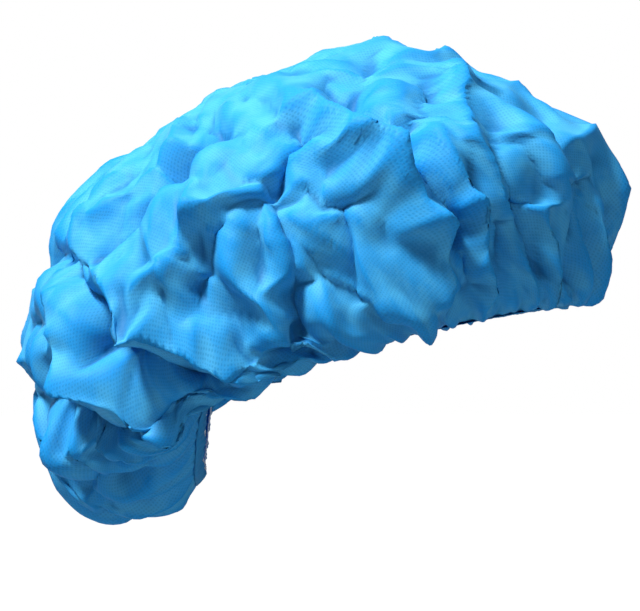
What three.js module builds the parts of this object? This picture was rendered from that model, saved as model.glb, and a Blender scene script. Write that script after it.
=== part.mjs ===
// A disposable bouffant cap: one round sheet of thin nonwoven cloth, gathered
// on an elastic band into a full, soft crown with a pouch behind the head.
// Units are millimetres. +X is the wearer's front, +Y the wearer's left, +Z up.
// The origin is the middle of the wearer's head, level with the ears.

import * as THREE from 'three';

// ---- driving dimensions ----

const CLOTH_WALL = 1.5;         // thickness of the crown's wall
const HEM_WALL = 0.9;           // thickness of the hem's two legs and its fold
const HEM_HEIGHT = 6;           // how far the hem reaches below the crown
const PIECE_GAP = 0.3;          // space between neighbouring pieces
const ELASTIC_THICKNESS = 0.8;
const ELASTIC_PLAY = 0.5;       // free space on each side of the elastic inside the hem
const ELASTIC_HEIGHT = 3.2;
const COLUMNS = 84;             // steps round the head
const ROWS = 21;                // steps from the rim to the top
const TOP_HOLE_SHARE = 0.985;   // the last row of the grid, closed by a fan
const SQUARENESS = 2.15;        // superellipse power of the level rings, 2 is an ellipse
const RIM_REACH = 0.22;         // share of the height over which a ring takes the rim's own line
const GATHER_COUNT = 21;        // large pleats drawn in by the elastic
const GATHER_DEPTH = 1.7;       // height of those pleats at the rim
const GATHER_REACH = 0.3;       // share of the height over which they die out

// The rim from the brow round one side of the head to the nape; the other side mirrors it.
const RIM = [
  { angle: 0, x: 76, y: 0, z: 38.5 },       // brow
  { angle: 28, x: 69, y: 36, z: 37 },       // side of the brow
  { angle: 56, x: 45, y: 63, z: 33 },       // temple
  { angle: 84, x: 9, y: 75, z: 26 },        // in front of the ear
  { angle: 108, x: -24, y: 77, z: 18 },     // over the ear
  { angle: 130, x: -54, y: 71, z: 12 },     // behind the ear
  { angle: 150, x: -74, y: 53, z: -1 },     // corner of the nape
  { angle: 166, x: -79, y: 29, z: -26 },    // side of the nape
  { angle: 180, x: -79, y: 0, z: -36 },     // nape
];

// Level rings of the smooth crown, from the rim to the top. Each has the X and Z of its
// front and back, the half width, and the Z of its sides.
const RINGS = [
  { share: 0.00, front: 76, frontZ: 38.5, back: -79, backZ: -36, half: 76, sideZ: 20 },
  { share: 0.05, front: 83, frontZ: 42, back: -90, backZ: -48, half: 87, sideZ: 14 },
  { share: 0.10, front: 88, frontZ: 50, back: -106, backZ: -51, half: 97, sideZ: 20 },
  { share: 0.16, front: 90, frontZ: 60, back: -124, backZ: -44, half: 104, sideZ: 33 },
  { share: 0.24, front: 90, frontZ: 75, back: -139, backZ: -24, half: 108, sideZ: 49 },
  { share: 0.33, front: 88, frontZ: 91, back: -149, backZ: 4, half: 109, sideZ: 67 },
  { share: 0.42, front: 82, frontZ: 105, back: -149, backZ: 33, half: 105, sideZ: 85 },
  { share: 0.52, front: 68, frontZ: 117, back: -138, backZ: 63, half: 95, sideZ: 102 },
  { share: 0.62, front: 53, frontZ: 127, back: -119, backZ: 90, half: 80, sideZ: 117 },
  { share: 0.73, front: 36, frontZ: 134, back: -93, backZ: 111, half: 60, sideZ: 129 },
  { share: 0.84, front: 18, frontZ: 141, back: -62, backZ: 129, half: 37, sideZ: 138 },
  { share: 0.93, front: 2, frontZ: 144.5, back: -33, backZ: 138, half: 16, sideZ: 142.5 },
  { share: 1.00, front: -8, frontZ: 145, back: -8, backZ: 145, half: 0, sideZ: 145 },
];

const RIGHT = -1;
const LEFT = 1;

// The main folds. Each runs between two points seen from the side, as X and Z. A ridge has
// a positive depth and a valley a negative one, measured out from the smooth crown.
const FOLDS = [
  // the large lobe over the right ear: its roll, and the deep crease under it
  { side: RIGHT, fromX: -116, fromZ: 58, toX: -94, toZ: 31, width: 12, depth: 4 },
  { side: RIGHT, fromX: -94, fromZ: 31, toX: -60, toZ: 19, width: 12, depth: 4 },
  { side: RIGHT, fromX: -129, fromZ: 52, toX: -106, toZ: 20, width: 9, depth: -6 },
  { side: RIGHT, fromX: -106, fromZ: 20, toX: -72, toZ: 3, width: 9, depth: -6 },
  // the second and third layers of the pouch behind it
  { side: RIGHT, fromX: -134, fromZ: 34, toX: -122, toZ: 4, width: 9, depth: 3 },
  { side: RIGHT, fromX: -140, fromZ: -2, toX: -92, toZ: -4, width: 9, depth: -6 },
  { side: RIGHT, fromX: -134, fromZ: -24, toX: -86, toZ: -14, width: 9, depth: 4 },
  { side: RIGHT, fromX: -126, fromZ: -38, toX: -86, toZ: -34, width: 9, depth: -4 },
  // the valley between the lobe and the front of the crown
  { side: RIGHT, fromX: -24, fromZ: 124, toX: 4, toZ: 96, width: 10, depth: -6 },
  { side: RIGHT, fromX: 4, fromZ: 96, toX: 30, toZ: 42, width: 10, depth: -7 },
  { side: RIGHT, fromX: -16, fromZ: 88, toX: 4, toZ: 52, width: 13, depth: 4 },
  // creases that run down the crown
  { side: RIGHT, fromX: -72, fromZ: 108, toX: -114, toZ: 66, width: 10, depth: -7 },
  { side: RIGHT, fromX: -37, fromZ: 106, toX: -49, toZ: 78, width: 9, depth: -6 },
  { side: RIGHT, fromX: -82, fromZ: 82, toX: -90, toZ: 52, width: 9, depth: 4 },
  { side: RIGHT, fromX: -46, fromZ: 72, toX: -37, toZ: 34, width: 9, depth: -4 },
  { side: RIGHT, fromX: -6, fromZ: 140, toX: -17, toZ: 116, width: 10, depth: -4 },
  { side: RIGHT, fromX: 30, fromZ: 134, toX: 40, toZ: 88, width: 10, depth: 4 },
  { side: RIGHT, fromX: 42, fromZ: 100, toX: 60, toZ: 50, width: 9, depth: -6 },
  { side: RIGHT, fromX: 22, fromZ: 86, toX: 40, toZ: 44, width: 9, depth: 5 },
  // the left side hangs in its own folds
  { side: LEFT, fromX: -110, fromZ: 62, toX: -84, toZ: 24, width: 12, depth: 6 },
  { side: LEFT, fromX: -124, fromZ: 50, toX: -98, toZ: 10, width: 9, depth: -8 },
  { side: LEFT, fromX: -138, fromZ: 14, toX: -96, toZ: -10, width: 10, depth: 4 },
  { side: LEFT, fromX: -130, fromZ: -26, toX: -88, toZ: -24, width: 9, depth: -5 },
  { side: LEFT, fromX: -86, fromZ: 112, toX: -112, toZ: 80, width: 10, depth: -6 },
  { side: LEFT, fromX: -60, fromZ: 116, toX: -66, toZ: 60, width: 11, depth: -5 },
  { side: LEFT, fromX: -40, fromZ: 90, toX: -34, toZ: 34, width: 11, depth: 5 },
  { side: LEFT, fromX: -18, fromZ: 122, toX: -8, toZ: 44, width: 10, depth: -7 },
  { side: LEFT, fromX: 10, fromZ: 110, toX: 18, toZ: 46, width: 11, depth: 5 },
  { side: LEFT, fromX: 34, fromZ: 122, toX: 44, toZ: 50, width: 10, depth: -6 },
  { side: LEFT, fromX: 62, fromZ: 98, toX: 66, toZ: 52, width: 9, depth: 4 },
];
const FOLD_SIDE_START = 12;     // folds of one side fade out this close to the middle
const FOLD_SIDE_FULL = 40;      // and have their whole depth from here on

// ---- interpolation ----

function smooth(low, high, value) {
  return THREE.MathUtils.smoothstep(value, low, high);
}

function catmullRom(a, b, c, d, t) {
  const slopeB = (c - a) / 2;
  const slopeC = (d - b) / 2;
  const t2 = t * t;
  const t3 = t2 * t;
  return (2 * t3 - 3 * t2 + 1) * b + (t3 - 2 * t2 + t) * slopeB
    + (3 * t2 - 2 * t3) * c + (t3 - t2) * slopeC;
}

// Reads one column of a table at a value of its key column, as a smooth curve.
function readTable(table, key, column, at, mirrorSign) {
  let i = 0;
  while (i < table.length - 2 && table[i + 1][key] < at) {
    i += 1;
  }
  const t = (at - table[i][key]) / (table[i + 1][key] - table[i][key]);
  const before = i > 0 ? table[i - 1][column] : mirrorSign * table[1][column];
  const last = table.length - 1;
  const after = i + 2 <= last ? table[i + 2][column] : mirrorSign * table[last - 1][column];
  return catmullRom(before, table[i][column], table[i + 1][column], after, t);
}

// ---- the crown's surface ----

function rimPoint(angle) {
  const wrapped = ((angle % 360) + 360) % 360;
  const side = wrapped > 180 ? RIGHT : LEFT;
  const half = wrapped > 180 ? 360 - wrapped : wrapped;
  return new THREE.Vector3(
    readTable(RIM, 'angle', 'x', half, 1),
    side * readTable(RIM, 'angle', 'y', half, -1),
    readTable(RIM, 'angle', 'z', half, 1),
  );
}

function ringPoint(angle, share) {
  const column = (name) => readTable(RINGS, 'share', name, share, 1);
  const radians = THREE.MathUtils.degToRad(angle);
  const cos = Math.cos(radians);
  const sin = Math.sin(radians);
  const stretch = (value) => Math.sign(value) * Math.abs(value) ** (2 / SQUARENESS);
  const front = column('front');
  const back = column('back');
  const meanZ = (column('frontZ') + column('backZ') + 2 * column('sideZ')) / 4;
  const tiltZ = (column('frontZ') - column('backZ')) / 2;
  const bowZ = (column('frontZ') + column('backZ') - 2 * column('sideZ')) / 4;
  return new THREE.Vector3(
    (front + back) / 2 + (front - back) / 2 * stretch(cos),
    column('half') * stretch(sin),
    meanZ + tiltZ * cos + bowZ * Math.cos(2 * radians),
  );
}

// The smooth crown: a level ring, drawn to the rim's own line near the opening.
function smoothCrown(angle, share) {
  const point = ringPoint(angle, share);
  const toRim = rimPoint(angle).sub(ringPoint(angle, 0));
  return point.addScaledVector(toRim, 1 - smooth(0, RIM_REACH, share));
}

function outwardNormal(angle, share) {
  const step = 0.004;
  const along = smoothCrown(angle + 0.5, share).sub(smoothCrown(angle - 0.5, share));
  const up = smoothCrown(angle, share + step).sub(smoothCrown(angle, Math.max(share - step, 0)));
  return along.cross(up).normalize();
}

function distanceToFold(x, z, fold) {
  const runX = fold.toX - fold.fromX;
  const runZ = fold.toZ - fold.fromZ;
  const along = ((x - fold.fromX) * runX + (z - fold.fromZ) * runZ) / (runX ** 2 + runZ ** 2);
  const t = THREE.MathUtils.clamp(along, 0, 1);
  return Math.hypot(x - fold.fromX - t * runX, z - fold.fromZ - t * runZ);
}

function foldHeight(point) {
  let height = 0;
  for (const fold of FOLDS) {
    const onSide = smooth(FOLD_SIDE_START, FOLD_SIDE_FULL, fold.side * point.y);
    const away = distanceToFold(point.x, point.z, fold) / fold.width;
    height += fold.depth * onSide * Math.exp(-(away ** 2));
  }
  return height;
}

function gatherHeight(angle, share) {
  const fade = 1 - smooth(0, GATHER_REACH, share);
  return GATHER_DEPTH * fade * Math.cos(THREE.MathUtils.degToRad(angle) * GATHER_COUNT);
}

function crownPoint(angle, share, inset) {
  const point = smoothCrown(angle, share);
  const foldFade = smooth(0, 0.12, share) * (1 - smooth(0.85, 0.97, share));
  const height = foldFade * foldHeight(point) + gatherHeight(angle, share) - inset;
  return point.addScaledVector(outwardNormal(angle, share), height);
}

// ---- meshes ----

function meshFrom(name, points, triangles, material) {
  const geometry = new THREE.BufferGeometry();
  const numbers = points.flatMap((p) => [p.x, p.y, p.z]);
  geometry.setAttribute('position', new THREE.Float32BufferAttribute(numbers, 3));
  geometry.setIndex(triangles.flat());
  geometry.computeVertexNormals();
  const mesh = new THREE.Mesh(geometry, material);
  mesh.name = name;
  return mesh;
}

// Two triangles for each cell between ring a and ring b of a grid of closed rings.
function ringBand(startA, startB, columns) {
  const band = [];
  for (let i = 0; i < columns; i += 1) {
    const next = (i + 1) % columns;
    band.push([startA + i, startA + next, startB + next]);
    band.push([startA + i, startB + next, startB + i]);
  }
  return band;
}

function ringFan(start, centre, columns) {
  const fan = [];
  for (let i = 0; i < columns; i += 1) {
    fan.push([start + i, start + (i + 1) % columns, centre]);
  }
  return fan;
}

const flipped = (triangles) => triangles.map(([a, b, c]) => [a, c, b]);

function columnAngle(i) {
  return 360 * i / COLUMNS;
}

function buildCrown(material) {
  const points = [];
  const triangles = [];
  for (const inset of [0, CLOTH_WALL]) {
    const start = points.length;
    const face = [];
    for (let row = 0; row < ROWS; row += 1) {
      for (let i = 0; i < COLUMNS; i += 1) {
        const share = TOP_HOLE_SHARE * row / (ROWS - 1);
        points.push(crownPoint(columnAngle(i), share, inset));
      }
      if (row > 0) {
        const here = start + row * COLUMNS;
        face.push(...ringBand(here - COLUMNS, here, COLUMNS));
      }
    }
    const top = smoothCrown(0, 1);
    top.z -= inset;
    points.push(top);
    face.push(...ringFan(start + (ROWS - 1) * COLUMNS, points.length - 1, COLUMNS));
    triangles.push(...(inset === 0 ? face : flipped(face)));
  }
  const innerStart = points.length / 2;
  triangles.push(...ringBand(innerStart, 0, COLUMNS));
  return meshFrom('crown', points, triangles, material);
}

// Sweeps a closed section round the rim. Each section corner is [out, down]: how far it lies
// out from the crown's outer face, and how far below the crown's lower edge.
function buildRimSweep(name, section, material) {
  const points = [];
  const triangles = [];
  for (const [out, down] of section) {
    for (let i = 0; i < COLUMNS; i += 1) {
      const angle = columnAngle(i);
      const outward = outwardNormal(angle, 0);
      const along = smoothCrown(angle + 0.5, 0).sub(smoothCrown(angle - 0.5, 0)).normalize();
      const downward = along.clone().cross(outward);
      const corner = crownPoint(angle, 0, 0);
      corner.addScaledVector(outward, out).addScaledVector(downward, down);
      points.push(corner);
    }
  }
  section.forEach((_, corner) => {
    const next = (corner + 1) % section.length;
    triangles.push(...ringBand(corner * COLUMNS, next * COLUMNS, COLUMNS));
  });
  return meshFrom(name, points, triangles, material);
}

// The hem is the cloth's edge turned in and up round the elastic, open at the top inside.
function hemSection() {
  const channel = ELASTIC_THICKNESS + 2 * ELASTIC_PLAY;
  const innerFace = -(2 * HEM_WALL + channel);
  const top = PIECE_GAP;
  const bottom = PIECE_GAP + HEM_HEIGHT;
  return [
    [0, top],
    [-HEM_WALL, top],
    [-HEM_WALL, bottom - HEM_WALL],
    [innerFace + HEM_WALL, bottom - HEM_WALL],
    [innerFace + HEM_WALL, top],
    [innerFace, top],
    [innerFace, bottom],
    [0, bottom],
  ];
}

function elasticSection() {
  const outer = -(HEM_WALL + ELASTIC_PLAY);
  const inner = outer - ELASTIC_THICKNESS;
  const bottom = HEM_HEIGHT - HEM_WALL - ELASTIC_PLAY;
  const top = bottom - ELASTIC_HEIGHT;
  return [
    [outer, top],
    [inner, top],
    [inner, bottom],
    [outer, bottom],
  ];
}

// ---- the cap ----

const clothBlue = new THREE.MeshStandardMaterial({ color: 0x3f9fdc, roughness: 0.75, metalness: 0 });
const hemBlue = new THREE.MeshStandardMaterial({ color: 0x1f7fc4, roughness: 0.75, metalness: 0 });
const elasticWhite = new THREE.MeshStandardMaterial({ color: 0xdfe6e4, roughness: 0.6, metalness: 0 });

const cap = new THREE.Group();
cap.add(buildCrown(clothBlue));
cap.add(buildRimSweep('rim_hem', hemSection(), hemBlue));
cap.add(buildRimSweep('elastic_band', elasticSection(), elasticWhite));

export default cap;
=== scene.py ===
"""A disposable bouffant cap: one round sheet of thin nonwoven cloth, gathered on an elastic.

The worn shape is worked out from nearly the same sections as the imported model. A cloth
simulation then lets the sheet grow, so that it creases. After that the creases are pressed into
flat facets, and many small straight creases are added at random places: those two steps aren't
simulation. Lengths are millimetres until a mesh is made.
"""

import math
from collections import namedtuple

import bpy
import numpy as np
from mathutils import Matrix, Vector


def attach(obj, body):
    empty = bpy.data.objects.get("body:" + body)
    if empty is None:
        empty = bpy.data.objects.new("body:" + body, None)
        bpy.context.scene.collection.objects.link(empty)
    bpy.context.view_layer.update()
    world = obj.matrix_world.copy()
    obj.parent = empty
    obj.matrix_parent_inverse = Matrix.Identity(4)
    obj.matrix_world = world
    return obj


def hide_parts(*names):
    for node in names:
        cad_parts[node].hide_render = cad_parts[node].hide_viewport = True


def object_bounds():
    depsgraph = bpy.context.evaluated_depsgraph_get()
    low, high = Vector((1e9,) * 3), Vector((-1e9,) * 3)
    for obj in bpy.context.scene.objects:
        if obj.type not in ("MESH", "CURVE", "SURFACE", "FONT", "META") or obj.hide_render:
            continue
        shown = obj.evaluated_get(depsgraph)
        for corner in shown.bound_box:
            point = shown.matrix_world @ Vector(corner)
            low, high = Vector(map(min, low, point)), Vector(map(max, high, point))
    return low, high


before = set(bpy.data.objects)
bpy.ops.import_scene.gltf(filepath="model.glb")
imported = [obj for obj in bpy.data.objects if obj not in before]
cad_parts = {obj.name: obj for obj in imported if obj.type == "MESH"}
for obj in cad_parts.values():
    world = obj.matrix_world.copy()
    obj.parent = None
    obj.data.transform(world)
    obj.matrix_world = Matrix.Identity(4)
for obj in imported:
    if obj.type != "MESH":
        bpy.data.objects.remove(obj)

CAD_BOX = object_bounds()

# ---- sizes ----

MM = 0.001
FLAT_RADIUS = 265.0          # the cap laid flat is a disc 53 cm across
GRID = 110                   # cells across the flat disc
APEX_AHEAD = 64.0            # how far in front of the disc's middle the top of the worn cap lies
SQUARENESS = 2.15            # superellipse power of the level rings, 2 is an ellipse
RIM_REACH = 0.22             # share of the height over which a ring takes the rim's own line
CLOTH_THICKNESS = 0.35
HEM_THICKNESS = 0.25
HEM_STEPS = 880              # steps of the hem and the elastic round the rim

SWELL = 3.0                  # the cloth starts this far inside its worn shape, and creasing swells it

SIM_FRAMES = 22
SURPLUS = 0.21               # how much the cloth grows along its length, found by trial
HOLD = 0.15                  # how firmly the worn shape is held while it creases

FACET_ROUNDS = 6             # how often neighbouring facets are evened out
FACET_KEEP = 0.28            # a turn between two facets sharper than this stays a crease
FACET_MOVES = 10             # how often the vertices are moved onto the evened facets
FACET_FADE = (0.03, 0.16)    # shares of the height between which the pressing sets in
DEEPEN_FADE = (0.02, 0.10)   # and the deepening
DEEPEN = 0.18                # share by which the creases are then deepened
CREASE_SPREAD = 12           # rounds of evening that take the creases out of the surface
FOLD_SHADE_TINT = 0.30             # how strongly a millimetre of rise marks a fold: the painted shade in valleys and painted fuller blue on ridges

# The many small straight creases that the imported cap keeps, on the flat sheet.
SMALL_CREASES = 1000
SMALL_LENGTH = (20, 70)
SMALL_WIDTH = (1.8, 3.4)
SMALL_DEPTH = (0.5, 1.7)
SMALL_SPREAD = 0.75          # how far, in radians, their run strays from the sheet's radius
SMALL_FADE = (0.01, 0.08)    # shares of the height between which they set in
SMALL_SEED = 7

VIEW_WIDTH = 0.2624          # metres across the picture at the middle of the cap
VIEW_CENTRE = Vector((-0.0291, 0.0, 0.0363))
CAMERA_DISTANCE = 2.0
SENSOR_WIDTH = 36.0
FLOOR_BELOW = 0.16           # the floor is this far under the cap, which a head holds up

RIGHT, LEFT = -1, 1

# The rim from the brow round one side of the head to the nape; the other side mirrors it.
RimRow = namedtuple("RimRow", "angle x y z")
RIM = [
    RimRow(0, 76, 0, 38.5),
    RimRow(28, 69, 36, 37),
    RimRow(56, 45, 63, 33),
    RimRow(84, 9, 75, 26),
    RimRow(108, -24, 77, 18),
    RimRow(130, -54, 71, 12),
    RimRow(150, -74, 53, -1),
    RimRow(166, -79, 29, -26),
    RimRow(180, -79, 0, -36),
]

# Level rings of the smooth crown, from the rim to the top.
RingRow = namedtuple("RingRow", "share front front_z back back_z half side_z")
RINGS = [
    RingRow(0.00, 76, 38.5, -79, -36, 76, 20),
    RingRow(0.05, 83, 42, -90, -47, 87, 18),
    RingRow(0.10, 88, 50, -106, -50, 97, 23),
    RingRow(0.16, 90, 60, -124, -44, 104, 33),
    RingRow(0.24, 90, 75, -139, -24, 108, 49),
    RingRow(0.33, 88, 91, -149, 4, 109, 67),
    RingRow(0.42, 82, 105, -149, 33, 105, 85),
    RingRow(0.52, 68, 117, -138, 63, 95, 102),
    RingRow(0.62, 53, 127, -119, 90, 80, 117),
    RingRow(0.73, 36, 134, -93, 111, 60, 129),
    RingRow(0.84, 18, 141, -62, 129, 37, 138),
    RingRow(0.93, 2, 144.5, -33, 138, 16, 142.5),
    RingRow(1.00, -8, 145, -8, 145, 0, 145),
]

# Folds, each between two points seen from the side. depth stands out from the smooth crown,
# and lean pushes the fold over to the left of its own run, so that it overlaps its neighbour.
Fold = namedtuple("Fold", "side x0 z0 x1 z1 width depth lean")
FOLDS = [
    # the large lobe over the ear: its roll, and the deep crease under it
    Fold(RIGHT, -118, 60, -98, 30, 8, 8, -6),
    Fold(RIGHT, -98, 30, -62, 18, 8, 8, -6),
    Fold(RIGHT, -133, 56, -112, 22, 5, -12, 0),
    Fold(RIGHT, -112, 22, -74, 3, 5, -12, 0),
    # the second and third layers of the pouch behind it
    Fold(RIGHT, -135, 42, -124, 8, 6, 7, -4),
    Fold(RIGHT, -124, 8, -96, -6, 6, 7, -4),
    Fold(RIGHT, -142, -2, -116, -16, 5, -9, 0),
    Fold(RIGHT, -116, -16, -84, -6, 5, -9, 0),
    Fold(RIGHT, -136, -24, -86, -14, 6, 6, 0),
    Fold(RIGHT, -128, -38, -86, -34, 5, -6, 0),
    Fold(RIGHT, -148, 30, -133, 32, 4, -4, 0),
    Fold(RIGHT, -148, 8, -130, 15, 4, -4, 0),
    # the valley between the lobe and the front, and the edge of the lobe that hangs over it
    Fold(RIGHT, -24, 125, 5, 96, 5, -10, 0),
    Fold(RIGHT, 5, 96, 24, 62, 5, -14, 0),
    Fold(RIGHT, 24, 62, 34, 40, 6, -14, 0),
    Fold(RIGHT, -34, 116, -4, 92, 7, 6, 5),
    Fold(RIGHT, -4, 92, 13, 66, 7, 8, 6),
    Fold(RIGHT, 13, 66, 20, 42, 7, 8, 6),
    # creases that run down the crown
    Fold(RIGHT, -72, 109, -92, 93, 5, -9, 0),
    Fold(RIGHT, -92, 93, -116, 60, 5, -9, 0),
    Fold(RIGHT, -88, 104, -118, 74, 6, 5, 0),
    Fold(RIGHT, -37, 106, -50, 80, 4, -10, 0),
    Fold(RIGHT, -36, 98, -7, 99, 5, 4, 0),
    Fold(RIGHT, -82, 86, -79, 74, 4, 4, 0),
    Fold(RIGHT, -79, 74, -91, 50, 5, 6, 0),
    Fold(RIGHT, -79, 74, -56, 82, 5, 4, 0),
    Fold(RIGHT, -70, 66, -78, 36, 5, -5, 0),
    Fold(RIGHT, -55, 80, -53, 50, 4, -4, 0),
    Fold(RIGHT, -46, 75, -37, 42, 4, -6, 0),
    Fold(RIGHT, -37, 42, -36, 26, 4, -5, 0),
    Fold(RIGHT, -18, 74, -12, 40, 5, -4, 0),
    Fold(RIGHT, -7, 141, -17, 118, 5, -7, 0),
    Fold(RIGHT, 16, 125, 5, 99, 5, -5, 0),
    # the front of the crown and the pleats at the brow
    Fold(RIGHT, 29, 136, 32, 104, 5, 5, 0),
    Fold(RIGHT, 32, 104, 50, 75, 5, 5, 0),
    Fold(RIGHT, 14, 104, 31, 73, 4, 6, 2),
    Fold(RIGHT, 31, 73, 38, 38, 4, 7, 2),
    Fold(RIGHT, 40, 103, 52, 76, 4, -9, 0),
    Fold(RIGHT, 52, 76, 60, 47, 4, -9, 0),
    Fold(RIGHT, 42, 100, 61, 73, 4, 4, 0),
    Fold(RIGHT, 61, 73, 70, 43, 4, 6, 0),
    Fold(RIGHT, 45, 66, 46, 40, 3, -5, 0),
    Fold(RIGHT, 78, 84, 74, 46, 3, -4, 0),
    # the left side hangs in its own folds
    Fold(LEFT, -112, 62, -84, 24, 9, 6.5, -5),
    Fold(LEFT, -124, 50, -98, 10, 6, -9, 0),
    Fold(LEFT, -138, 14, -96, -10, 7, 5, -3),
    Fold(LEFT, -130, -26, -88, -24, 6, -5.5, 0),
    Fold(LEFT, -86, 112, -112, 80, 6, -6.5, 0),
    Fold(LEFT, -60, 116, -66, 60, 6, -6.5, 0),
    Fold(LEFT, -66, 60, -78, 30, 5, -5, 0),
    Fold(LEFT, -40, 90, -34, 34, 7, 5.5, 0),
    Fold(LEFT, -18, 122, -8, 44, 6, -9.5, 0),
    Fold(LEFT, 10, 110, 18, 46, 7, 5.5, -3),
    Fold(LEFT, 34, 122, 44, 50, 5, -8, 0),
    Fold(LEFT, 62, 98, 66, 52, 5, 4, 0),
]
CREST = 1.15                 # power of a fold's profile: 2 is round, 1 comes to an edge
FOLD_SIDE = (8, 36)          # folds of one side fade in between these distances from the middle

# Radial gathers: how many round the rim, how high, and the shares of the height between
# which they rise and die out. wander bends them, so that no two are alike.
Gather = namedtuple("Gather", "count height rise_from rise_to fall_from fall_to wander phase")
GATHERS = [
    Gather(110, 1.2, 0.00, 0.02, 0.03, 0.14, 0.9, 0.4),
    Gather(55, 2.4, 0.00, 0.05, 0.07, 0.24, 1.1, 2.2),
    Gather(29, 3.7, 0.00, 0.12, 0.14, 0.42, 1.4, 0.9),
    Gather(14, 3.0, 0.08, 0.30, 0.50, 0.80, 1.2, 1.7),
]

# ---- the worn shape ----


def smooth(low, high, value):
    t = np.clip((value - low) / (high - low), 0, 1)
    return t * t * (3 - 2 * t)


def read_table(table, column, at, mirror=1):
    """One column of a table at values of its first column, as a smooth curve through the rows."""
    key = np.array([row[0] for row in table], float)
    value = np.array([getattr(row, column) for row in table], float)
    i = np.clip(np.searchsorted(key, at, side="right") - 1, 0, len(key) - 2)
    t = (at - key[i]) / (key[i + 1] - key[i])
    padded = np.concatenate([[mirror * value[1]], value, [mirror * value[-2]]])
    before, here, there, after = (padded[i + k] for k in range(4))
    slope_here = (there - before) / 2
    slope_there = (after - here) / 2
    t2 = t * t
    t3 = t2 * t
    start = (2 * t3 - 3 * t2 + 1) * here + (t3 - 2 * t2 + t) * slope_here
    return start + (3 * t2 - 2 * t3) * there + (t3 - t2) * slope_there


def rim_points(angle):
    wrapped = np.mod(angle, 360)
    half = np.where(wrapped > 180, 360 - wrapped, wrapped)
    side = np.where(wrapped > 180, RIGHT, LEFT)
    x = read_table(RIM, "x", half)
    y = side * read_table(RIM, "y", half, mirror=-1)
    z = read_table(RIM, "z", half)
    return np.stack([x, y, z], -1)


def ring_points(angle, share):
    front, front_z, back, back_z, half, side_z = (
        read_table(RINGS, name, share) for name in RingRow._fields[1:]
    )
    turn = np.radians(angle)
    cos, sin = np.cos(turn), np.sin(turn)
    wide_cos, wide_sin = (np.sign(v) * np.abs(v) ** (2 / SQUARENESS) for v in (cos, sin))
    x = (front + back) / 2 + (front - back) / 2 * wide_cos
    y = half * wide_sin
    mean = (front_z + back_z + 2 * side_z) / 4
    bow = (front_z + back_z - 2 * side_z) / 4
    z = mean + (front_z - back_z) / 2 * cos + bow * np.cos(2 * turn)
    return np.stack([x, y, z], -1)


def smooth_crown(angle, share):
    to_rim = rim_points(angle) - ring_points(angle, np.zeros_like(share))
    return ring_points(angle, share) + to_rim * (1 - smooth(0, RIM_REACH, share))[:, None]


def crown_frame(angle, share):
    """Unit vectors at points of the smooth crown: along the rim, and outward."""
    along = smooth_crown(angle + 0.3, share) - smooth_crown(angle - 0.3, share)
    up = smooth_crown(angle, np.minimum(share + 0.004, 1)) - smooth_crown(
        angle, np.maximum(share - 0.004, 0)
    )
    outward = np.cross(along, up)
    outward /= np.maximum(np.linalg.norm(outward, axis=1), 1e-9)[:, None]
    outward[share > 0.985] = (0, 0, 1)
    along /= np.maximum(np.linalg.norm(along, axis=1), 1e-9)[:, None]
    return along, outward


def flat_to_worn(flat):
    """Where points of the flat disc lie on the cap: the angle round the head, the share of the
    height above the rim, and the angle round the disc itself."""
    ahead = flat[:, 0] - APEX_AHEAD
    angle = np.arctan2(flat[:, 1], ahead)
    shift = np.cos(angle) * APEX_AHEAD
    to_edge = np.sqrt(shift**2 + FLAT_RADIUS**2 - APEX_AHEAD**2) - shift
    share = 1 - np.clip(np.hypot(ahead, flat[:, 1]) / to_edge, 0, 1)
    return np.degrees(angle), share, np.arctan2(flat[:, 1], flat[:, 0])


def fold_offsets(points):
    """How far the folds push points outward, and how far they lean them in X and Z."""
    height = np.zeros(len(points))
    lean = np.zeros((len(points), 3))
    for fold in FOLDS:
        run = np.array([fold.x1 - fold.x0, fold.z1 - fold.z0], float)
        from_start = points[:, [0, 2]] - (fold.x0, fold.z0)
        t = np.clip(from_start @ run / (run @ run), 0, 1)
        away = np.linalg.norm(from_start - t[:, None] * run, axis=1) / fold.width
        strength = smooth(*FOLD_SIDE, fold.side * points[:, 1]) * np.exp(-(away**CREST))
        height += fold.depth * strength
        leftward = np.array([-run[1], 0, run[0]]) / np.linalg.norm(run)
        lean += fold.lean * strength[:, None] * leftward
    return height, lean


def gather_height(disc_angle, share):
    height = np.zeros(len(share))
    for g in GATHERS:
        bend = g.wander * (np.sin(5 * disc_angle + g.phase) + 0.6 * np.sin(11 * disc_angle + 3 * g.phase))
        wave = np.cos(g.count * disc_angle + bend)
        rise = smooth(g.rise_from, g.rise_to, share)
        fall = 1 - smooth(g.fall_from, g.fall_to, share)
        height += g.height * rise * fall * wave
    return height


def worn_points(flat):
    angle, share, disc_angle = flat_to_worn(flat)
    points = smooth_crown(angle, share)
    _, outward = crown_frame(angle, share)
    fade = smooth(0, 0.10, share) * (1 - smooth(0.85, 0.97, share))
    height, lean = fold_offsets(points)
    height = fade * (height - SWELL) + gather_height(disc_angle, share)
    return points + outward * height[:, None] + lean * fade[:, None]


# ---- the sheet ----


def disc_grid(cells):
    """An even grid of quads over the flat disc, by the concentric map of a square onto a disc."""
    steps = np.linspace(-1, 1, cells + 1)
    u, v = np.meshgrid(steps, steps, indexing="ij")
    swap = np.abs(v) > np.abs(u)
    large = np.where(swap, v, u)
    small = np.where(swap, u, v)
    turn = math.pi / 4 * small / np.where(large == 0, 1, large)
    x, y = large * np.cos(turn), large * np.sin(turn)
    flat = np.stack([np.where(swap, y, x), np.where(swap, x, y)], -1).reshape(-1, 2)
    index = np.arange((cells + 1) ** 2).reshape(cells + 1, cells + 1)
    corners = [index[:-1, :-1], index[1:, :-1], index[1:, 1:], index[:-1, 1:]]
    return flat * FLAT_RADIUS, np.stack(corners, -1).reshape(-1, 4)


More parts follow.
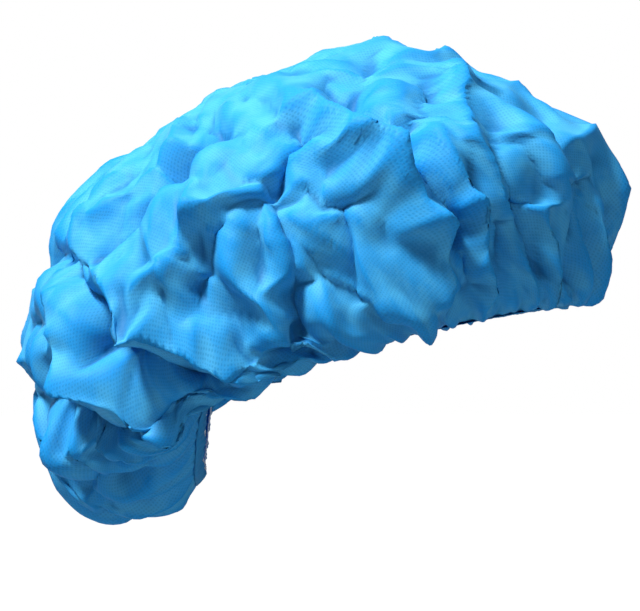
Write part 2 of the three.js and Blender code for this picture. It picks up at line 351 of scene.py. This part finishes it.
def new_mesh(name, points, faces):
    mesh = bpy.data.meshes.new(name)
    mesh.from_pydata((np.asarray(points) * MM).tolist(), [], np.asarray(faces).tolist())
    mesh.polygons.foreach_set("use_smooth", [True] * len(mesh.polygons))
    piece = bpy.data.objects.new(name, mesh)
    bpy.context.collection.objects.link(piece)
    return piece


def add_flat_map(piece, flat):
    """A UV map named cloth that holds the flat sheet's own coordinates, in decimetres."""
    layer = piece.data.uv_layers.new(name="cloth")
    corners = np.zeros(len(piece.data.loops), int)
    piece.data.loops.foreach_get("vertex_index", corners)
    layer.data.foreach_set("uv", (flat[corners] / 100).ravel())


def coordinates(mesh):
    numbers = np.zeros(len(mesh.vertices) * 3)
    mesh.vertices.foreach_get("co", numbers)
    return numbers.reshape(-1, 3)


def weight_group(piece, name, weights):
    group = piece.vertex_groups.new(name=name)
    for i, weight in enumerate(weights):
        if weight > 0:
            group.add([i], float(weight), "REPLACE")


def flat_coordinates(piece):
    """Where each vertex lies on the flat sheet, read back from its map."""
    mesh = piece.data
    corners = np.zeros(len(mesh.loops), int)
    mesh.loops.foreach_get("vertex_index", corners)
    places = np.zeros(len(mesh.loops) * 2)
    mesh.uv_layers["cloth"].data.foreach_get("uv", places)
    flat = np.zeros((len(mesh.vertices), 2))
    flat[corners] = places.reshape(-1, 2) * 100
    return flat


def crease_cloth(piece):
    """Lets the sheet grow by its surplus while its rim is pinned and its shape softly held."""
    _, share, _ = flat_to_worn(flat_coordinates(piece))
    held = np.full(len(share), HOLD)
    held = np.maximum(held, 0.6 * (1 - smooth(0, 0.03, share)))
    held[share < 1e-4] = 1
    weight_group(piece, "held", held)
    weight_group(piece, "no_surplus", 1 - smooth(0, 0.12, share) * (1 - 0.5 * smooth(0.75, 0.95, share)))
    modifier = piece.modifiers.new("crease", "CLOTH")
    cloth = modifier.settings
    cloth.quality = 6
    cloth.mass = 0.05
    cloth.tension_stiffness = 15
    cloth.compression_stiffness = 15
    cloth.shear_stiffness = 8
    cloth.bending_stiffness = 0.02
    cloth.vertex_group_mass = "held"
    cloth.vertex_group_shrink = "no_surplus"
    cloth.shrink_max = 0
    cloth.shrink_min = -SURPLUS
    cloth.effector_weights.gravity = 0
    modifier.collision_settings.use_collision = False
    modifier.point_cache.frame_start = 1
    modifier.point_cache.frame_end = SIM_FRAMES
    scene = bpy.context.scene
    for step in range(1, SIM_FRAMES + 1):
        scene.frame_set(step)
    graph = bpy.context.evaluated_depsgraph_get()
    creased = coordinates(piece.evaluated_get(graph).data)
    piece.modifiers.clear()
    piece.vertex_groups.clear()
    piece.data.vertices.foreach_set("co", creased.ravel())
    scene.frame_set(1)


def evened(mesh, points, rounds):
    """The points after each has been drawn to the mean of its neighbours a number of times."""
    edges = np.zeros(len(mesh.edges) * 2, int)
    mesh.edges.foreach_get("vertices", edges)
    a, b = edges.reshape(-1, 2).T
    count = np.bincount(edges, minlength=len(points))[:, None]
    even = points.copy()
    for _ in range(rounds):
        total = np.zeros_like(even)
        np.add.at(total, a, even[b])
        np.add.at(total, b, even[a])
        even = (even + total / count) / 2
    return even


def facet_pairs(quads):
    """The two facets that meet at each inner edge."""
    edges = np.concatenate([quads[:, [k, (k + 1) % 4]] for k in range(4)])
    edges.sort(axis=1)
    facet = np.tile(np.arange(len(quads)), 4)
    order = np.lexsort((edges[:, 1], edges[:, 0]))
    edges, facet = edges[order], facet[order]
    shared = np.all(edges[1:] == edges[:-1], axis=1)
    return facet[:-1][shared], facet[1:][shared]


def unit(vectors):
    return vectors / np.maximum(np.linalg.norm(vectors, axis=1), 1e-12)[:, None]


def press_facets(piece):
    """Flattens the cloth between its creases and deepens them, for the look of stiff nonwoven."""
    mesh = piece.data
    points = coordinates(mesh) / MM
    corners = np.zeros(len(mesh.polygons) * 4, int)
    mesh.polygons.foreach_get("vertices", corners)
    quads = corners.reshape(-1, 4)
    one, other = facet_pairs(quads)
    one_diagonal = points[quads[:, 2]] - points[quads[:, 0]]
    other_diagonal = points[quads[:, 3]] - points[quads[:, 1]]
    normals = unit(np.cross(one_diagonal, other_diagonal))
    for _ in range(FACET_ROUNDS):
        turn = np.linalg.norm(normals[one] - normals[other], axis=1)
        alike = np.exp(-((turn / FACET_KEEP) ** 2) / 2)[:, None]
        total = normals.copy()
        np.add.at(total, one, alike * normals[other])
        np.add.at(total, other, alike * normals[one])
        normals = unit(total)
    _, share, _ = flat_to_worn(flat_coordinates(piece))
    free = smooth(*FACET_FADE, share) / np.bincount(corners, minlength=len(points))
    for _ in range(FACET_MOVES):
        centre = points[quads].mean(axis=1)
        move = np.zeros_like(points)
        for k in range(4):
            off = np.einsum("ij,ij->i", normals, centre - points[quads[:, k]])
            np.add.at(move, quads[:, k], normals * off[:, None])
        points += move * free[:, None]
    creases = points - evened(mesh, points, CREASE_SPREAD)
    points += DEEPEN * smooth(*DEEPEN_FADE, share)[:, None] * creases
    mesh.vertices.foreach_set("co", (points * MM).ravel())
    mesh.update()


def small_crease_height(flat):
    """How far the small creases lift points of the flat sheet. Their places are random."""
    draw = np.random.default_rng(SMALL_SEED)
    height = np.zeros(len(flat))
    for _ in range(SMALL_CREASES):
        turn = draw.uniform(0, 2 * math.pi)
        outward = np.array([math.cos(turn), math.sin(turn)])
        middle = FLAT_RADIUS * math.sqrt(draw.uniform(0, 1)) * outward
        heading = turn + draw.normal(0, SMALL_SPREAD)
        along = np.array([math.cos(heading), math.sin(heading)])
        across = np.array([-along[1], along[0]])
        t = (flat - middle) @ along / (draw.uniform(*SMALL_LENGTH) / 2)
        away = np.abs((flat - middle) @ across) / draw.uniform(*SMALL_WIDTH)
        depth = draw.uniform(*SMALL_DEPTH) * draw.choice([-1, 1])
        height += depth * np.exp(-away) * np.clip(1 - t * t, 0, 1)
    return height


def add_small_creases(piece):
    mesh = piece.data
    flat = flat_coordinates(piece)
    _, share, _ = flat_to_worn(flat)
    normals = np.zeros(len(mesh.vertices) * 3)
    mesh.vertices.foreach_get("normal", normals)
    height = small_crease_height(flat) * smooth(*SMALL_FADE, share)
    points = coordinates(mesh) + height[:, None] * MM * normals.reshape(-1, 3)
    mesh.vertices.foreach_set("co", points.ravel())
    mesh.update()


def apply_modifiers(piece):
    graph = bpy.context.evaluated_depsgraph_get()
    mesh = bpy.data.meshes.new_from_object(piece.evaluated_get(graph))
    piece.modifiers.clear()
    piece.data = mesh


def subdivide(piece):
    modifier = piece.modifiers.new("subdivide", "SUBSURF")
    modifier.levels = modifier.render_levels = 1
    apply_modifiers(piece)


def thicken(piece, thickness, offset=-1):
    modifier = piece.modifiers.new("thicken", "SOLIDIFY")
    modifier.thickness = thickness * MM
    modifier.offset = offset
    apply_modifiers(piece)


def paint_fold_shading(piece):
    """A vertex attribute, fold, that is high on ridges and low in valleys, 0.5 where it is flat. The
    material paints shade into the valleys from it, and a fuller blue onto the ridges that stands in for
    light through doubled cloth.
    """
    mesh = piece.data
    points = coordinates(mesh) / MM
    normals = np.zeros(len(points) * 3)
    mesh.vertices.foreach_get("normal", normals)
    rise = np.einsum("ij,ij->i", points - evened(mesh, points, CREASE_SPREAD), normals.reshape(-1, 3))
    layer = mesh.attributes.new("fold", "FLOAT", "POINT")
    layer.data.foreach_set("value", np.clip(0.5 + rise * FOLD_SHADE_TINT, 0, 1))


def make_crown():
    flat, quads = disc_grid(GRID)
    points = worn_points(flat)
    crown = new_mesh("crown_cloth", points, quads)
    add_flat_map(crown, flat)
    crease_cloth(crown)
    subdivide(crown)
    press_facets(crown)
    add_small_creases(crown)
    paint_fold_shading(crown)
    thicken(crown, CLOTH_THICKNESS)
    return crown


# ---- the rim ----

# The hem's section from its upper outer edge round the fold to its inner edge:
# out from the crown's edge, and down from it.
SectionRow = namedtuple("SectionRow", "out down")
HEM_SECTION = [
    SectionRow(0.50, -1.6),
    SectionRow(0.75, 0.4),
    SectionRow(0.80, 2.4),
    SectionRow(0.45, 4.2),
    SectionRow(-0.50, 5.1),
    SectionRow(-1.60, 4.6),
    SectionRow(-2.00, 2.8),
    SectionRow(-1.90, 0.6),
]
ELASTIC_OUT, ELASTIC_DOWN = -1.0, 5.75
ELASTIC_RADIUS = 0.42
ELASTIC_SIDES = 8


def rim_sweep(name, section, closed, ripple):
    """Sweeps a section round the rim. ripple gives each step its own (out, down) change."""
    turn = 2 * math.pi * np.arange(HEM_STEPS) / HEM_STEPS
    flat = FLAT_RADIUS * np.stack([np.cos(turn), np.sin(turn)], -1)
    edge = worn_points(flat)
    angle, share, _ = flat_to_worn(flat)
    along, outward = crown_frame(angle, np.zeros_like(share))
    downward = np.cross(along, outward)
    rows = []
    for level, row in enumerate(section):
        out, down = ripple(turn, level, row)
        rows.append(edge + outward * out[:, None] + downward * down[:, None])
    faces = []
    for level in range(len(section) if closed else len(section) - 1):
        below = (level + 1) % len(section)
        for i in range(HEM_STEPS):
            after = (i + 1) % HEM_STEPS
            upper, lower = level * HEM_STEPS, below * HEM_STEPS
            faces.append([upper + i, lower + i, lower + after, upper + after])
    piece = new_mesh(name, np.concatenate(rows), faces)
    add_flat_map(piece, np.concatenate([flat * (1 - level / 100) for level in range(len(section))]))
    return piece


def hem_ripple(turn, level, row):
    fine = np.cos(220 * turn + 1.4 * np.sin(7 * turn))
    coarse = np.sin(63 * turn + 1.1 * np.sin(5 * turn))
    loose = math.sin(math.pi * (level + 0.5) / len(HEM_SECTION))
    out = row.out + loose * (0.22 * fine + 0.15 * coarse)
    down = row.down + loose * (0.30 * coarse + 0.35 * np.sin(29 * turn + 0.6))
    return out, down


def elastic_ripple(turn, level, row):
    out = row.out + 0.12 * np.sin(150 * turn)
    down = row.down + 0.30 * np.sin(29 * turn + 0.6)
    return out, down


def make_hem():
    hem = rim_sweep("rim_hem_cloth", HEM_SECTION, False, hem_ripple)
    thicken(hem, HEM_THICKNESS, offset=0)
    return hem


def make_elastic():
    section = []
    for side in range(ELASTIC_SIDES):
        turn = 2 * math.pi * side / ELASTIC_SIDES
        section.append(
            SectionRow(
                ELASTIC_OUT + ELASTIC_RADIUS * math.cos(turn),
                ELASTIC_DOWN - ELASTIC_RADIUS * math.sin(turn),
            )
        )
    return rim_sweep("elastic_thread", section, True, elastic_ripple)


# ---- materials ----


class Nodes:
    """A small helper that adds nodes to a material and links them."""

    def __init__(self, name):
        self.material = bpy.data.materials.new(name)
        self.material.use_nodes = True
        self.tree = self.material.node_tree
        self.tree.nodes.clear()

    def add(self, kind, inputs=None, **settings):
        node = self.tree.nodes.new("ShaderNode" + kind)
        for key, value in settings.items():
            setattr(node, key, value)
        for key, value in (inputs or {}).items():
            if isinstance(value, bpy.types.NodeSocket):
                self.tree.links.new(value, node.inputs[key])
            else:
                node.inputs[key].default_value = value
        return node

    def math(self, operation, a, b=0.0):
        return self.add("Math", {0: a, 1: b}, operation=operation).outputs[0]

    def mix(self, factor, a, b):
        node = self.add("Mix", data_type="RGBA")
        for socket, value in ((node.inputs[0], factor), (node.inputs[6], a), (node.inputs[7], b)):
            if isinstance(value, bpy.types.NodeSocket):
                self.tree.links.new(value, socket)
            else:
                socket.default_value = value
        return node.outputs[2]

    def ramp(self, value, low, high):
        node = self.add("MapRange", {"Value": value, "From Min": low, "From Max": high})
        node.interpolation_type = "SMOOTHSTEP"
        return node.outputs[0]

    def finish(self, surface):
        self.add("OutputMaterial", {"Surface": surface})
        return self.material


BOND_PITCH = 1.30            # spacing of the bond points, on the diagonal
BOND_TURN = math.radians(45)


def cloth_material(name, pale, full, deep, see_through):
    """Spunbond cloth: pale where it is one flat layer, with random clouds of full blue. On folds, full blue
    is painted on the ridges for light through doubled cloth, and painted shade in deep blue lies in the
    valleys.
    """
    n = Nodes(name)
    uv = n.add("UVMap", uv_map="cloth").outputs[0]
    turned = n.add("Mapping", {"Vector": uv, "Rotation": (0, 0, BOND_TURN)}).outputs[0]
    bond = n.add(
        "TexVoronoi",
        {"Vector": turned, "Scale": 100 / BOND_PITCH, "Randomness": 0.12},
        voronoi_dimensions="2D",
    ).outputs["Distance"]
    dot = n.math("SUBTRACT", 1.0, n.ramp(bond, 0.18, 0.40))
    fibre_space = n.add("Mapping", {"Vector": uv, "Scale": (1.0, 5.0, 1.0)}).outputs[0]
    fibre = n.add(
        "TexNoise", {"Vector": fibre_space, "Scale": 70, "Detail": 4, "Roughness": 0.6}
    ).outputs[0]
    cloud = n.add(
        "TexNoise", {"Vector": uv, "Scale": 4.5, "Detail": 5, "Roughness": 0.62}
    ).outputs[0]
    fold = n.add("Attribute", attribute_name="fold").outputs["Fac"]

    patchy = n.ramp(cloud, 0.38, 0.62)
    # painted from the fold attribute: a fuller blue on ridges for light through doubled cloth, and painted
    # shade in deep blue in the valleys
    ridge_tint = n.ramp(fold, 0.55, 0.90)
    valley_shade = n.math("SUBTRACT", 1.0, n.ramp(fold, 0.05, 0.48))
    colour = n.mix(n.math("MULTIPLY", patchy, 0.60), pale, full)
    colour = n.mix(n.math("MULTIPLY", ridge_tint, 0.85), colour, full)
    colour = n.mix(n.math("MULTIPLY", valley_shade, 0.85), colour, deep)
    colour = n.mix(n.math("MULTIPLY", dot, 0.30), colour, deep)
    colour = n.mix(n.math("MULTIPLY", n.ramp(fibre, 0.50, 0.75), 0.22), colour, (0.20, 0.60, 0.92, 1))

    height = n.math("ADD", n.math("MULTIPLY", dot, -0.7), n.math("MULTIPLY", fibre, 0.9))
    bump = n.add("Bump", {"Height": height, "Strength": 0.35, "Distance": 0.00012}).outputs[0]
    rough = n.math("ADD", 0.50, n.math("MULTIPLY", fibre, 0.22))
    front = n.add(
        "BsdfPrincipled",
        {
            "Base Color": colour,
            "Roughness": rough,
            "Normal": bump,
            "Specular IOR Level": 0.22,
        },
    ).outputs[0]
    behind = n.add("BsdfTranslucent", {"Color": colour, "Normal": bump}).outputs[0]
    return n.finish(n.add("MixShader", {0: see_through, 1: front, 2: behind}).outputs[0])


def elastic_material():
    """Pale covered elastic: fine ribs of yarn wound round it."""
    n = Nodes("elastic")
    uv = n.add("UVMap", uv_map="cloth").outputs[0]
    grain = n.add("TexNoise", {"Vector": uv, "Scale": 60, "Detail": 3}).outputs[0]
    colour = n.mix(n.ramp(grain, 0.3, 0.7), (0.62, 0.70, 0.70, 1), (0.86, 0.90, 0.88, 1))
    bump = n.add("Bump", {"Height": grain, "Strength": 0.4, "Distance": 0.0002}).outputs[0]
    rough = n.math("ADD", 0.55, n.math("MULTIPLY", grain, 0.2))
    shader = n.add("BsdfPrincipled", {"Base Color": colour, "Roughness": rough, "Normal": bump})
    return n.finish(shader.outputs[0])


# ---- stage, light and camera ----


def make_floor():
    low = CAD_BOX[0][2] - FLOOR_BELOW
    reach = 9.0
    mesh = bpy.data.meshes.new("floor")
    corners = [(-reach, -reach, low), (reach, -reach, low), (reach, reach, low), (-reach, reach, low)]
    mesh.from_pydata(corners, [], [(0, 1, 2, 3)])
    floor = bpy.data.objects.new("floor", mesh)
    bpy.context.collection.objects.link(floor)
    n = Nodes("floor")
    matt = n.add("BsdfDiffuse", {"Color": (0.30, 0.31, 0.32, 1)}).outputs[0]
    seen = n.add("LightPath").outputs["Is Camera Ray"]
    glow = n.add("Emission", {"Color": (1, 1, 1, 1), "Strength": n.math("MULTIPLY", seen, 0.95)}).outputs[0]
    mesh.materials.append(n.finish(n.add("AddShader", {0: matt, 1: glow}).outputs[0]))


def make_world():
    """White behind the cap, and a softer, even light on it."""
    world = bpy.data.worlds.new("studio")
    world.use_nodes = True
    tree = world.node_tree
    tree.nodes.clear()
    path = tree.nodes.new("ShaderNodeLightPath")
    strength = tree.nodes.new("ShaderNodeMapRange")
    strength.inputs["To Min"].default_value = 0.20
    strength.inputs["To Max"].default_value = 1.0
    tree.links.new(path.outputs["Is Camera Ray"], strength.inputs["Value"])
    sky = tree.nodes.new("ShaderNodeBackground")
    tree.links.new(strength.outputs[0], sky.inputs["Strength"])
    out = tree.nodes.new("ShaderNodeOutputWorld")
    tree.links.new(sky.outputs[0], out.inputs["Surface"])
    sky.inputs["Color"].default_value = (1, 1, 1, 1)
    bpy.context.scene.world = world


Lamp = namedtuple("Lamp", "name at size power")
LAMPS = [
    Lamp("key", (-0.75, -0.70, 1.50), 0.35, 67),
    Lamp("fill", (1.2, -1.1, 0.35), 1.0, 4.0),
    Lamp("top", (0.1, 0.5, 1.6), 1.0, 8),
    Lamp("rear", (-0.6, 1.3, 0.4), 1.1, 4),
]


def aim(thing, at):
    thing.rotation_euler = (Vector(at) - thing.location).to_track_quat("-Z", "Y").to_euler()


def make_lamps():
    for row in LAMPS:
        lamp = bpy.data.lights.new(row.name, "AREA")
        lamp.size = row.size
        lamp.energy = row.power
        thing = bpy.data.objects.new(row.name, lamp)
        bpy.context.collection.objects.link(thing)
        thing.location = row.at
        aim(thing, VIEW_CENTRE)


def make_camera():
    lens = bpy.data.cameras.new("camera")
    lens.sensor_width = SENSOR_WIDTH
    lens.lens = SENSOR_WIDTH * CAMERA_DISTANCE / VIEW_WIDTH
    lens.clip_end = 50
    camera = bpy.data.objects.new("camera", lens)
    bpy.context.collection.objects.link(camera)
    camera.location = VIEW_CENTRE + Vector((0, -CAMERA_DISTANCE, 0))
    aim(camera, VIEW_CENTRE)
    bpy.context.scene.camera = camera
    bpy.context.scene.view_settings.view_transform = "Standard"


# ---- the cap ----

# deep is the painted shade in the crown's valleys and also the bond points' colour; full is the random
# clouds and the painted blue on ridges. The hem has no fold attribute, which reads as 0 there, so it takes
# mostly the deep blue evenly.
CROWN_BLUE = dict(
    pale=(0.070, 0.470, 0.810, 1),
    full=(0.003, 0.320, 0.780, 1),
    deep=(0.004, 0.160, 0.420, 1),
)
HEM_BLUE = dict(
    pale=(0.070, 0.440, 0.780, 1),
    full=(0.004, 0.320, 0.760, 1),
    deep=(0.006, 0.200, 0.480, 1),
)


def place(piece, node, material):
    piece.data.materials.clear()
    piece.data.materials.append(material)
    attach(piece, "root")
    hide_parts(node)


make_camera()
make_world()
make_lamps()
make_floor()

crown = make_crown()
hem = make_hem()
elastic = make_elastic()
place(crown, "crown", cloth_material("crown_blue", see_through=0.30, **CROWN_BLUE))
place(hem, "rim_hem", cloth_material("hem_blue", see_through=0.18, **HEM_BLUE))
place(elastic, "elastic_band", elastic_material())
